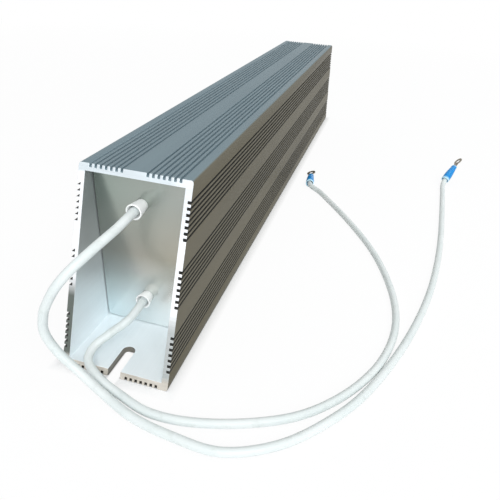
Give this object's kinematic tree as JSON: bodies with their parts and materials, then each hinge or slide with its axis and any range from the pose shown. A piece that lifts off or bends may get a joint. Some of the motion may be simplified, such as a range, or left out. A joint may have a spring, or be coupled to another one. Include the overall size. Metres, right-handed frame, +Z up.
{
  "type": "aluminium housed power resistor",
  "caption": "Wirewound power resistor in a long grooved aluminium extrusion with slant-cut ends, slotted feet and free leads with crimped ring terminals.",
  "frame": {"origin": "middle of the housing's base, on the surface that it stands on", "axes": "+Z up through the housing's height, +Y along the housing away from the end that the leads leave, +X across its width"},
  "size_m": [0.2238, 0.5638, 0.1],
  "materials": {
    "anodised_housing": "satin",
    "plate_aluminium": "satin",
    "bushing_silicone": "satin",
    "lead_silicone": "satin",
    "terminal_blue": "gloss",
    "tinned_copper": "satin",
    "cast_filling": "matte",
    "core_ceramic": "matte",
    "resistance_wire": "satin",
    "contact_brass": "satin"
  },
  "bodies": {
    "root": {"housing": "anodised_housing", "end_plate_front": "plate_aluminium", "end_plate_rear": "plate_aluminium", "filling": "cast_filling", "bushing_upper": "bushing_silicone", "bushing_lower": "bushing_silicone", "lead_upper": "lead_silicone", "lead_lower": "lead_silicone", "lead_tail_upper": "lead_silicone", "lead_tail_lower": "lead_silicone", "splice_upper": "tinned_copper", "splice_lower": "tinned_copper", "terminal_sleeve_upper": "terminal_blue", "terminal_sleeve_lower": "terminal_blue", "terminal_ring_upper": "tinned_copper", "terminal_ring_lower": "tinned_copper", "core_upper": "core_ceramic", "core_lower": "core_ceramic", "winding_upper": "resistance_wire", "winding_lower": "resistance_wire", "contact_band_upper": "contact_brass", "contact_band_lower": "contact_brass", "rear_band_upper": "contact_brass", "rear_band_lower": "contact_brass", "series_link": "contact_brass"}
  },
  "joints": []
}
